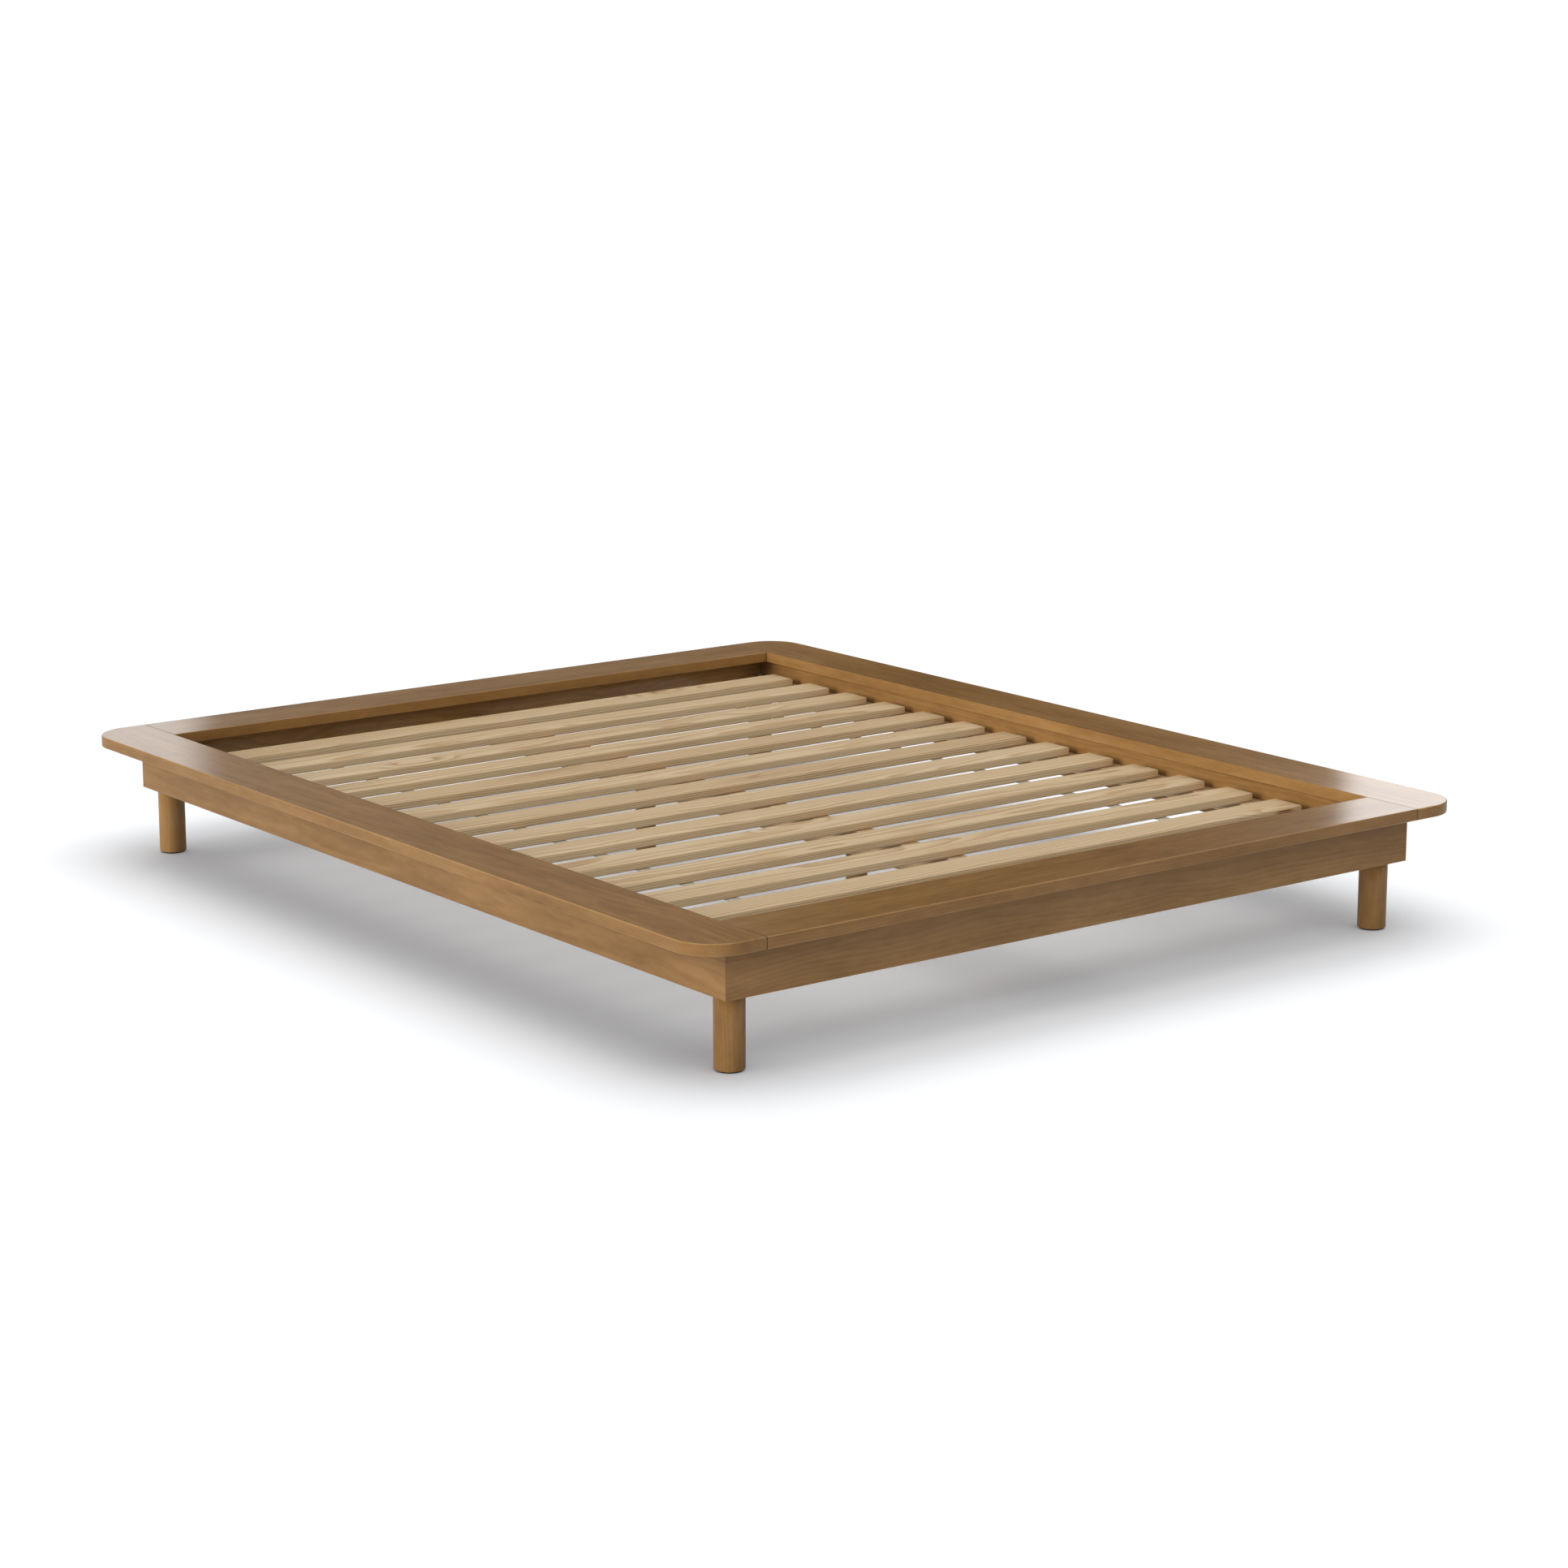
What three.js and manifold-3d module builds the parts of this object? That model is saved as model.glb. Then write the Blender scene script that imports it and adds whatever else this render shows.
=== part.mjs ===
// Low platform bed frame: a wide ledge round the mattress, an apron set back under it, round legs,
// and the slats and supports inside. Millimetres, +Z up. The origin is on the floor under the middle
// of the frame. +X is to the right of someone at the foot, and +Y runs from the foot to the head.

import * as THREE from 'three';
import { mergeVertices } from 'three/addons/utils/BufferGeometryUtils.js';
import Module from 'manifold-3d';

const wasm = await Module();
wasm.setup();

// Over the ledge, which is the frame's outline in plan.
const FRAME_WIDTH = 1940;
const FRAME_LENGTH = 2340;

// Ledge boards.
const LEDGE_WIDTH = 140;
const LEDGE_THICKNESS = 24;
const LEDGE_CORNER_RADIUS = 87;
const LEDGE_EASING = 2;

// Apron rails. The ledge stands out past them, further at the sides than at the ends.
const RAIL_HEIGHT = 103;
const RAIL_THICKNESS = 22;
const SIDE_OVERHANG = 98;
const END_OVERHANG = 66;

// Corner legs, with their axes set in from the ledge's outer edges.
const LEG_HEIGHT = 145;
const LEG_DIAMETER = 59;
const LEG_SIDE_INSET = 142;
const LEG_END_INSET = 115;
const LEG_EASING = 2;

// Glides under the legs.
const GLIDE_THICKNESS = 2;
const GLIDE_INSET = 4;
const GLIDE_EASING = 0.7;

// Corner blocks, which join the rails and take the legs.
const BLOCK_SIZE = 70;
const BLOCK_CUT = 22;

// Bolts. The two bolts of a corner cross in its block at different heights.
const BOLT_RADIUS = 4;
const BOLT_HOLE_RADIUS = 4.7;
const WASHER_RADIUS = 10;
const WASHER_THICKNESS = 1.6;
const HEAD_RADIUS = 7.5;
const HEAD_HEIGHT = 5.5;
const CORNER_BOLT_OFFSET = 38;
const CORNER_BOLT_BITE = 14;
const SIDE_BOLT_HEIGHT = 172;
const END_BOLT_HEIGHT = 158;
const LEG_BOLT_DEPTH = 45;
const LEG_BOLT_TAIL = 3;
const HOLE_END_CLEARANCE = 1;

// Slats and what carries them. The slats are short enough to drop in through the ledge.
const SLAT_COUNT = 14;
const SLAT_WIDTH = 80;
const SLAT_THICKNESS = 18;
const SLAT_PITCH = 147;
const SLAT_EASING = 2;
const SLAT_END_CLEARANCE = 4;
const SUPPORT_TOP = 205;
const CLEAT_WIDTH = 60;
const CLEAT_THICKNESS = 27;
const CLEAT_EASING = 1.5;

// Webbing tapes under the slats.
const TAPE_WIDTH = 30;
const TAPE_THICKNESS = 1.2;
const TAPE_OFFSET = 560;
const TAPE_END_INSET = 10;

// Centre beam, its steel hangers and its legs.
const BEAM_WIDTH = 45;
const BEAM_DEPTH = 55;
const BEAM_EASING = 2;
const BEAM_END_CLEARANCE = 1;
const HANGER_STEEL = 2;
const HANGER_REACH = 40;
const HANGER_FLANGE = 24;
const HANGER_DROP = 4;
const HANGER_SCREW_RADIUS = 2.6;
const HANGER_SCREW_HEIGHTS = [162, 190];
const CENTRE_LEG_DIAMETER = 45;
const CENTRE_LEG_OFFSET = 380;
const CENTRE_BOLT_DEPTH = 38;

// Pieces that touch keep this gap.
const GAP = 0.3;

// Places worked out from the sizes above.
const HALF_WIDTH = FRAME_WIDTH / 2;
const HALF_LENGTH = FRAME_LENGTH / 2;
const OPENING_X = HALF_WIDTH - LEDGE_WIDTH;
const RAIL_BOTTOM = LEG_HEIGHT + GAP;
const LEDGE_BOTTOM = RAIL_BOTTOM + RAIL_HEIGHT + GAP;
const RAIL_OUTER_X = HALF_WIDTH - SIDE_OVERHANG;
const RAIL_OUTER_Y = HALF_LENGTH - END_OVERHANG;
const RAIL_INNER_X = RAIL_OUTER_X - RAIL_THICKNESS;
const RAIL_INNER_Y = RAIL_OUTER_Y - RAIL_THICKNESS;
const BLOCK_INNER_X = RAIL_INNER_X - GAP - BLOCK_SIZE;
const BLOCK_INNER_Y = RAIL_INNER_Y - GAP - BLOCK_SIZE;
const LEG_X = HALF_WIDTH - LEG_SIDE_INSET;
const LEG_Y = HALF_LENGTH - LEG_END_INSET;
const SLAT_BOTTOM = SUPPORT_TOP + GAP;
const BEAM_BOTTOM = SUPPORT_TOP - BEAM_DEPTH;

const LEG_SEGMENTS = 40;
const GLIDE_SEGMENTS = 24;
const BOLT_SEGMENTS = 12;
const HEX_SEGMENTS = 6;
const CORNER_SEGMENTS = 16;

const SIDES = [
  { name: 'left', x: -1 },
  { name: 'right', x: 1 },
];
const ENDS = [
  { name: 'foot', y: -1 },
  { name: 'head', y: 1 },
];
const CORNERS = ENDS.flatMap((end) => SIDES.map((side) => ({
  name: `${end.name}_${side.name}`,
  x: side.x,
  y: end.y,
})));

function material(color, roughness, metalness = 0) {
  return () => new THREE.MeshStandardMaterial({ color, roughness, metalness });
}

const finish = {
  lacqueredWood: material(0x9a7650, 0.42),
  plainWood: material(0xc9a777, 0.62),
  slatWood: material(0xd3b488, 0.6),
  steel: material(0xb4b6ba, 0.35, 1),
  glide: material(0x2b2826, 0.8),
  webbing: material(0xd9d4c8, 0.9),
};

const bed = new THREE.Group();

function addPiece(name, geometry, pieceFinish, position = [0, 0, 0]) {
  const mesh = new THREE.Mesh(geometry, pieceFinish());
  mesh.name = name;
  mesh.position.set(...position);
  bed.add(mesh);
}

// Solids for the cuts and joins.

function toSolid(geometry) {
  const bare = geometry.clone();
  bare.deleteAttribute('normal');
  bare.deleteAttribute('uv');
  const merged = mergeVertices(bare, 1e-4);
  return new wasm.Manifold(new wasm.Mesh({
    numProp: 3,
    vertProperties: new Float32Array(merged.attributes.position.array),
    triVerts: new Uint32Array(merged.index.array),
  }));
}

function toGeometry(solid) {
  const mesh = solid.getMesh();
  const geometry = new THREE.BufferGeometry();
  geometry.setAttribute('position', new THREE.BufferAttribute(mesh.vertProperties, 3));
  geometry.setIndex(new THREE.BufferAttribute(mesh.triVerts, 1));
  geometry.computeVertexNormals();
  return geometry;
}

function cut(geometry, cutters) {
  const solid = cutters.reduce((whole, cutter) => whole.subtract(toSolid(cutter)), toSolid(geometry));
  return toGeometry(solid);
}

function join(geometries) {
  const [first, ...rest] = geometries.map(toSolid);
  return toGeometry(rest.reduce((whole, piece) => whole.add(piece), first));
}

// A cylinder that starts at a point and runs along a unit direction.
function rod(radius, start, direction, length, segments = BOLT_SEGMENTS) {
  const along = new THREE.Vector3(...direction);
  const middle = new THREE.Vector3(...start).addScaledVector(along, length / 2);
  const geometry = new THREE.CylinderGeometry(radius, radius, length, segments);
  geometry.applyQuaternion(new THREE.Quaternion().setFromUnitVectors(new THREE.Vector3(0, 1, 0), along));
  return geometry.translate(middle.x, middle.y, middle.z);
}

function polygon(points) {
  return new THREE.Shape(points.map(([x, y]) => new THREE.Vector2(x, y)));
}

// A plan outline given its thickness, standing on z = 0, with eased top and bottom edges.
function board(outline, thickness, easing = 0) {
  const geometry = new THREE.ExtrudeGeometry(outline, {
    depth: thickness - 2 * easing,
    bevelEnabled: easing > 0,
    bevelSize: easing,
    bevelThickness: easing,
    bevelOffset: -easing,
    bevelSegments: 2,
    curveSegments: CORNER_SEGMENTS,
  });
  return geometry.translate(0, 0, easing);
}

// A bar along X about the origin, with its four long edges eased.
function easedBar(length, width, thickness, easing) {
  const halfWidth = width / 2;
  const halfThickness = thickness / 2;
  const section = polygon([
    [-halfThickness + easing, -halfWidth],
    [halfThickness - easing, -halfWidth],
    [halfThickness, -halfWidth + easing],
    [halfThickness, halfWidth - easing],
    [halfThickness - easing, halfWidth],
    [-halfThickness + easing, halfWidth],
    [-halfThickness, halfWidth - easing],
    [-halfThickness, -halfWidth + easing],
  ]);
  const geometry = new THREE.ExtrudeGeometry(section, { depth: length, bevelEnabled: false });
  return geometry.translate(0, 0, -length / 2).rotateY(Math.PI / 2);
}

// A round piece about Z, from its profile of [radius, height] points, bottom first.
function turned(profile, segments) {
  const points = profile.map(([radius, height]) => new THREE.Vector2(radius, height));
  return new THREE.LatheGeometry(points, segments).rotateX(Math.PI / 2);
}

// Ledge. The side boards carry the rounded corners, and the end boards fit between them.

function sideLedge(side) {
  const cornerX = HALF_WIDTH - LEDGE_CORNER_RADIUS;
  const cornerY = HALF_LENGTH - LEDGE_CORNER_RADIUS;
  const outline = new THREE.Shape();
  outline.moveTo(OPENING_X, -HALF_LENGTH);
  outline.lineTo(cornerX, -HALF_LENGTH);
  outline.absarc(cornerX, -cornerY, LEDGE_CORNER_RADIUS, -Math.PI / 2, 0, false);
  outline.lineTo(HALF_WIDTH, cornerY);
  outline.absarc(cornerX, cornerY, LEDGE_CORNER_RADIUS, 0, Math.PI / 2, false);
  outline.lineTo(OPENING_X, HALF_LENGTH);
  outline.closePath();
  const geometry = board(outline, LEDGE_THICKNESS, LEDGE_EASING);
  // The left board is the right one turned end for end.
  geometry.rotateZ(side.x > 0 ? 0 : Math.PI);
  addPiece(`side_ledge_${side.name}`, geometry, finish.lacqueredWood, [0, 0, LEDGE_BOTTOM]);
}

function endLedge(end) {
  const geometry = easedBar(2 * (OPENING_X - GAP), LEDGE_WIDTH, LEDGE_THICKNESS, LEDGE_EASING);
  const middleY = HALF_LENGTH - LEDGE_WIDTH / 2;
  const middleZ = LEDGE_BOTTOM + LEDGE_THICKNESS / 2;
  addPiece(`${end.name}_ledge`, geometry, finish.lacqueredWood, [0, end.y * middleY, middleZ]);
}

// Apron rails, mitred at the corners, with a blind hole for each corner bolt.

function cornerBoltLine(corner, intoSide) {
  if (intoSide) {
    const y = RAIL_INNER_Y - CORNER_BOLT_OFFSET;
    return {
      start: [corner.x * BLOCK_INNER_X, corner.y * y, SIDE_BOLT_HEIGHT],
      direction: [corner.x, 0, 0],
    };
  }
  const x = RAIL_INNER_X - CORNER_BOLT_OFFSET;
  return {
    start: [corner.x * x, corner.y * BLOCK_INNER_Y, END_BOLT_HEIGHT],
    direction: [0, corner.y, 0],
  };
}

function cornerBoltHole(corner, intoSide) {
  const { start, direction } = cornerBoltLine(corner, intoSide);
  const from = start.map((value, axis) => value - direction[axis]);
  return rod(BOLT_HOLE_RADIUS, from, direction, 1 + BLOCK_SIZE + GAP + CORNER_BOLT_BITE);
}

function rail(name, outline, corners, intoSide) {
  const holes = corners.map((corner) => cornerBoltHole(corner, intoSide));
  const geometry = cut(board(polygon(outline), RAIL_HEIGHT).translate(0, 0, RAIL_BOTTOM), holes);
  addPiece(name, geometry, finish.lacqueredWood);
}

function sideRail(side) {
  const outline = [
    [side.x * RAIL_OUTER_X, -RAIL_OUTER_Y + GAP],
    [side.x * RAIL_OUTER_X, RAIL_OUTER_Y - GAP],
    [side.x * RAIL_INNER_X, RAIL_INNER_Y - GAP],
    [side.x * RAIL_INNER_X, -RAIL_INNER_Y + GAP],
  ];
  rail(`side_rail_${side.name}`, outline, CORNERS.filter((corner) => corner.x === side.x), true);
}

function endRail(end) {
  const outline = [
    [-RAIL_OUTER_X + GAP, end.y * RAIL_OUTER_Y],
    [RAIL_OUTER_X - GAP, end.y * RAIL_OUTER_Y],
    [RAIL_INNER_X - GAP, end.y * RAIL_INNER_Y],
    [-RAIL_INNER_X + GAP, end.y * RAIL_INNER_Y],
  ];
  rail(`${end.name}_rail`, outline, CORNERS.filter((corner) => corner.y === end.y), false);
}

// Corner blocks, with their inner corner cut off, drilled for the leg bolt and the corner bolts.

function cornerBlock(corner) {
  const outline = [
    [RAIL_INNER_X - GAP, RAIL_INNER_Y - GAP],
    [BLOCK_INNER_X, RAIL_INNER_Y - GAP],
    [BLOCK_INNER_X, BLOCK_INNER_Y + BLOCK_CUT],
    [BLOCK_INNER_X + BLOCK_CUT, BLOCK_INNER_Y],
    [RAIL_INNER_X - GAP, BLOCK_INNER_Y],
  ].map(([x, y]) => [corner.x * x, corner.y * y]);
  const height = SUPPORT_TOP - RAIL_BOTTOM;
  const solid = board(polygon(outline), height).translate(0, 0, RAIL_BOTTOM);
  const legHole = rod(BOLT_HOLE_RADIUS, [corner.x * LEG_X, corner.y * LEG_Y, LEG_HEIGHT], [0, 0, 1],
    SUPPORT_TOP - LEG_HEIGHT + 1);
  const holes = [legHole, cornerBoltHole(corner, true), cornerBoltHole(corner, false)];
  addPiece(`corner_block_${corner.name}`, cut(solid, holes), finish.plainWood);
}

// A hex head on a washer, on a face, with the bolt running from it along a direction.
function headAndWasher(start, direction) {
  const back = direction.map((value) => -value);
  const seat = start.map((value, axis) => value + back[axis] * GAP);
  return [
    rod(WASHER_RADIUS, seat, back, WASHER_THICKNESS),
    rod(HEAD_RADIUS, seat, back, WASHER_THICKNESS + HEAD_HEIGHT, HEX_SEGMENTS),
  ];
}

function cornerBolt(corner, intoSide) {
  const { start, direction } = cornerBoltLine(corner, intoSide);
  const outer = start.map((value, axis) => value - direction[axis] * WASHER_THICKNESS);
  const length = WASHER_THICKNESS + BLOCK_SIZE + GAP + CORNER_BOLT_BITE - HOLE_END_CLEARANCE;
  const shaft = rod(BOLT_RADIUS, outer, direction, length);
  const geometry = join([shaft, ...headAndWasher(start, direction)]);
  const towards = intoSide ? 'side' : 'end';
  addPiece(`corner_bolt_${corner.name}_${towards}`, geometry, finish.steel);
}

// Legs. Each one is round, eased at the foot, and drilled from the top for its bolt.

function leg(name, diameter, x, y, top) {
  const radius = diameter / 2;
  const bottom = GLIDE_THICKNESS + GAP;
  const geometry = turned([
    [0, bottom],
    [radius - LEG_EASING, bottom],
    [radius, bottom + LEG_EASING],
    [radius, top],
    [BOLT_HOLE_RADIUS, top],
    [BOLT_HOLE_RADIUS, top - LEG_BOLT_DEPTH],
    [0, top - LEG_BOLT_DEPTH],
  ], LEG_SEGMENTS);
  addPiece(name, geometry, finish.lacqueredWood, [x, y, 0]);
}

function glide(name, legDiameter, x, y) {
  const radius = legDiameter / 2 - GLIDE_INSET;
  const geometry = turned([
    [0, 0],
    [radius - GLIDE_EASING, 0],
    [radius, GLIDE_EASING],
    [radius, GLIDE_THICKNESS],
    [0, GLIDE_THICKNESS],
  ], GLIDE_SEGMENTS);
  addPiece(name, geometry, finish.glide, [x, y, 0]);
}

// The bolt stands in the leg and comes up through the block, with a washer and a nut on top.
function legBolt(corner) {
  const x = corner.x * LEG_X;
  const y = corner.y * LEG_Y;
  const bottom = LEG_HEIGHT - LEG_BOLT_DEPTH + HOLE_END_CLEARANCE;
  const top = SUPPORT_TOP + GAP + WASHER_THICKNESS + HEAD_HEIGHT + LEG_BOLT_TAIL;
  const shaft = rod(BOLT_RADIUS, [x, y, bottom], [0, 0, 1], top - bottom);
  const nutAndWasher = headAndWasher([x, y, SUPPORT_TOP], [0, 0, -1]);
  addPiece(`leg_bolt_${corner.name}`, join([shaft, ...nutAndWasher]), finish.steel);
}

// Slats, cleats and tapes.

function slatCleat(side) {
  const geometry = easedBar(2 * (BLOCK_INNER_Y - GAP), CLEAT_WIDTH, CLEAT_THICKNESS, CLEAT_EASING);
  geometry.rotateZ(Math.PI / 2);
  const x = RAIL_INNER_X - GAP - CLEAT_WIDTH / 2;
  const position = [side.x * x, 0, SUPPORT_TOP - CLEAT_THICKNESS / 2];
  addPiece(`slat_cleat_${side.name}`, geometry, finish.plainWood, position);
}

function slat(index) {
  const length = 2 * (OPENING_X - SLAT_END_CLEARANCE);
  const geometry = easedBar(length, SLAT_WIDTH, SLAT_THICKNESS, SLAT_EASING);
  const y = (index - (SLAT_COUNT - 1) / 2) * SLAT_PITCH;
  const number = String(index + 1).padStart(2, '0');
  addPiece(`slat_${number}`, geometry, finish.slatWood, [0, y, SLAT_BOTTOM + SLAT_THICKNESS / 2]);
}

function slatTape(side) {
  const length = (SLAT_COUNT - 1) * SLAT_PITCH + SLAT_WIDTH - 2 * TAPE_END_INSET;
  const geometry = new THREE.BoxGeometry(TAPE_WIDTH, length, TAPE_THICKNESS);
  const z = SLAT_BOTTOM - GAP - TAPE_THICKNESS / 2;
  addPiece(`slat_tape_${side.name}`, geometry, finish.webbing, [side.x * TAPE_OFFSET, 0, z]);
}

// Centre beam, its hangers and its legs.

function centreBeam() {
  const length = 2 * (RAIL_INNER_Y - BEAM_END_CLEARANCE);
  const geometry = easedBar(length, BEAM_WIDTH, BEAM_DEPTH, BEAM_EASING).rotateZ(Math.PI / 2);
  geometry.translate(0, 0, BEAM_BOTTOM + BEAM_DEPTH / 2);
  const holes = [-1, 1].map((way) => rod(BOLT_HOLE_RADIUS, [0, way * CENTRE_LEG_OFFSET, BEAM_BOTTOM - 1],
    [0, 0, 1], CENTRE_BOLT_DEPTH + 1));
  addPiece('centre_beam', cut(geometry, holes), finish.plainWood);
}

// A folded steel saddle: a seat and two cheeks round the beam's end, and a flange on each cheek.
function beamHanger(end) {
  const inner = BEAM_WIDTH / 2 + GAP;
  const outer = inner + HANGER_STEEL;
  const seat = BEAM_BOTTOM - GAP;
  const bottom = seat - HANGER_STEEL;
  const top = SUPPORT_TOP - HANGER_DROP;
  const saddleOutline = [
    [-outer, bottom],
    [outer, bottom],
    [outer, top],
    [inner, top],
    [inner, seat],
    [-inner, seat],
    [-inner, top],
    [-outer, top],
  ];
  const saddle = board(polygon(saddleOutline), HANGER_REACH).rotateX(Math.PI / 2);
  saddle.translate(0, RAIL_INNER_Y - GAP, 0);
  const flangeY = RAIL_INNER_Y - GAP - HANGER_STEEL / 2;
  const flangeX = outer + HANGER_FLANGE / 2 - HANGER_STEEL / 2;
  const flangeSize = [HANGER_FLANGE + HANGER_STEEL, HANGER_STEEL, top - seat];
  const flanges = SIDES.map((side) => new THREE.BoxGeometry(...flangeSize)
    .translate(side.x * flangeX, flangeY, (top + seat) / 2));
  const screwHoles = SIDES.flatMap((side) => HANGER_SCREW_HEIGHTS.map((height) => {
    const start = [side.x * (outer + HANGER_FLANGE / 2), RAIL_INNER_Y, height];
    return rod(HANGER_SCREW_RADIUS, start, [0, -1, 0], 2 * HANGER_STEEL);
  }));
  const geometry = cut(join([saddle, ...flanges]), screwHoles);
  geometry.rotateZ(end.y > 0 ? 0 : Math.PI);
  addPiece(`beam_hanger_${end.name}`, geometry, finish.steel);
}

function centreLegBolt(name, y) {
  const legTop = BEAM_BOTTOM - GAP;
  const bottom = legTop - LEG_BOLT_DEPTH + HOLE_END_CLEARANCE;
  const top = BEAM_BOTTOM + CENTRE_BOLT_DEPTH - HOLE_END_CLEARANCE;
  addPiece(name, rod(BOLT_RADIUS, [0, y, bottom], [0, 0, 1], top - bottom), finish.steel);
}

SIDES.forEach(sideLedge);
ENDS.forEach(endLedge);
SIDES.forEach(sideRail);
ENDS.forEach(endRail);

for (const corner of CORNERS) {
  const x = corner.x * LEG_X;
  const y = corner.y * LEG_Y;
  cornerBlock(corner);
  cornerBolt(corner, true);
  cornerBolt(corner, false);
  leg(`leg_${corner.name}`, LEG_DIAMETER, x, y, LEG_HEIGHT);
  legBolt(corner);
  glide(`glide_${corner.name}`, LEG_DIAMETER, x, y);
}

SIDES.forEach(slatCleat);
centreBeam();
ENDS.forEach(beamHanger);
for (const end of ENDS) {
  const y = end.y * CENTRE_LEG_OFFSET;
  leg(`centre_leg_${end.name}`, CENTRE_LEG_DIAMETER, 0, y, BEAM_BOTTOM - GAP);
  centreLegBolt(`centre_leg_bolt_${end.name}`, y);
  glide(`glide_centre_${end.name}`, CENTRE_LEG_DIAMETER, 0, y);
}

for (let index = 0; index < SLAT_COUNT; index += 1) {
  slat(index);
}
SIDES.forEach(slatTape);

export default bed;
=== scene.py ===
"""A low platform bed frame in honey-brown lacquered hardwood: ledge, apron, round legs, slats and supports.

Metres, +Z up. +X is to the right of someone at the foot, and +Y runs from the foot to the head. Places and
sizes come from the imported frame, so a piece lies where its CAD node lies.
"""

import math
import random

import bmesh
import bpy
from mathutils import Matrix, Vector


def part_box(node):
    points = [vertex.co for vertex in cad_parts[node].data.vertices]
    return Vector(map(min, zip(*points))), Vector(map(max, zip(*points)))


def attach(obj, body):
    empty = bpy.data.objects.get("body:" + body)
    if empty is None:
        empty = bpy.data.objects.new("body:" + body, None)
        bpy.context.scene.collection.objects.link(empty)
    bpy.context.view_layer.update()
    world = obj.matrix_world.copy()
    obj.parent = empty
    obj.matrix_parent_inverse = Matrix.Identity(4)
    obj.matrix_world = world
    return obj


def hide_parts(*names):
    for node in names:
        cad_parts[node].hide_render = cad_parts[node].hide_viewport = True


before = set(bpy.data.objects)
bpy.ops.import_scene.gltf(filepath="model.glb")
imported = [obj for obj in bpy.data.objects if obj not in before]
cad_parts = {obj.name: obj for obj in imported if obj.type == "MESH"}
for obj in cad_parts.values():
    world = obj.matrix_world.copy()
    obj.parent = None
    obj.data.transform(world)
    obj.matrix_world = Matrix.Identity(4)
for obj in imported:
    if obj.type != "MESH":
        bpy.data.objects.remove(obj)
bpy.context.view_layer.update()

MM = 0.001
TOUCH = 0.05 * MM
X, Y, Z = Vector((1, 0, 0)), Vector((0, 1, 0)), Vector((0, 0, 1))

# Easings on the wood.
LEDGE_CORNER_RADIUS = 87 * MM
LEDGE_CORNER_STEPS = 36
RIM_EASING = 2 * MM
RIM_STEPS = 4
SEAM_EASING = 1.4 * MM
SEAM_STEPS = 2
SEAM_DARK = -3
RAIL_EASING = 1.2 * MM
MITRE_EASING = 0.35 * MM
MITRE_STEPS = 2
BLOCK_EASING = 1.5 * MM
CLEAT_EASING = 2 * MM
BEAM_EASING = 2.5 * MM
SLAT_EASING = 3.5 * MM
PLANED_STEPS = 2

# Only edges longer than these are eased, so that holes and small steps keep their shape.
LONG_EDGE = 1
MITRE_EDGE = 60 * MM
BEAM_EDGE = 40 * MM
BLOCK_EDGE = 20 * MM
SEAM_EDGE = 10 * MM

# Legs and glides. Each leg's tone is painted shade: a higher tone paints the leg darker, for the foot legs
# that stand in shade, and a lower one paints the head left leg lighter.
LEG_STEPS = 96
LEG_EASING = 2.5 * MM
LEG_TOP_EASING = 0.5 * MM
LEG_BOLT_DEPTH = 45 * MM
LEG_PAINTED_SHADE = {"foot_left": 1.9, "foot_right": 1.9, "head_left": -1.6, "head_right": 0.0}
GLIDE_STEPS = 64
GLIDE_EASING = 0.6 * MM

# Bolts, nuts and washers.
BOLT_RADIUS = 4 * MM
BOLT_HOLE_RADIUS = 4.7 * MM
BOLT_STEPS = 20
BOLT_INTO_HEAD = 0.5 * MM
THREAD_PITCH = 1.25 * MM
THREAD_DEPTH = 0.55 * MM
FIRST_RIDGE = 0.75
WASHER_RADIUS = 10 * MM
WASHER_THICKNESS = 1.6 * MM
WASHER_EASING = 0.3 * MM
WASHER_PLAY = 0.1 * MM
WASHER_STEPS = 40
HEX_RADIUS = 7.5 * MM
HEX_HEIGHT = 5.5 * MM
HEX_CHAMFER = 0.7 * MM
NUT_TAIL = 3 * MM

# Screws: a domed head with a six-lobed socket.
SCREW_RADIUS = 4.4 * MM
SCREW_RIM = 0.4 * MM
SCREW_SHOULDER = (SCREW_RADIUS * 0.8, 1.1 * MM)
SCREW_DOME = 1.5 * MM
SCREW_SHANK = 2.1 * MM
SCREW_TIP = 3 * MM
SCREW_STEPS = 24
SOCKET_RADIUS = 1.9 * MM
SOCKET_DEPTH = 0.9 * MM
SOCKET_LOBES = 6
SOCKET_LOBE_SHARE = 0.14
CLEAT_SCREWS = 9
CLEAT_SCREW_LENGTH = 45 * MM
CLEAT_SCREW_DROP = 1 * MM

# Beam hangers. Only folds sharper than this many degrees are eased.
HANGER_STEEL = 2 * MM
HANGER_EASING = 0.5 * MM
HANGER_EDGE = 3 * MM
HANGER_FOLD = 60
HANGER_SCREW_LENGTH = 20 * MM
HANGER_SCREW_INSET = 12 * MM
HANGER_SCREW_HEIGHTS = (162 * MM, 190 * MM)

# Slat tapes and their staples.
TAPE_THICKNESS = 1.0 * MM
TAPE_SAG = 1.4 * MM
TAPE_STRIPS = 4
TAPE_STEPS = 14 * 16
STAPLE_SIZE = (11 * MM, 1.3 * MM, 0.9 * MM)
STAPLE_EASING = 0.3 * MM
STAPLE_FROM_MIDDLE = 22 * MM
STAPLE_DROP = 1.25 * MM

SIDES = ("left", "right")
ENDS = ("foot", "head")
CORNERS = [(end, side) for end in ENDS for side in SIDES]
SLATS = [f"slat_{number:02d}" for number in range(1, 15)]

scatter = random.Random(11)


def box(node):
    """A CAD node's lowest corner, highest corner and middle."""
    low, high = (Vector(corner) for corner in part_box(node))
    return low, high, (low + high) / 2


def on_floor(point):
    """The point on the floor below another point."""
    return Vector((point.x, point.y, 0))


# Mesh work.

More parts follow.
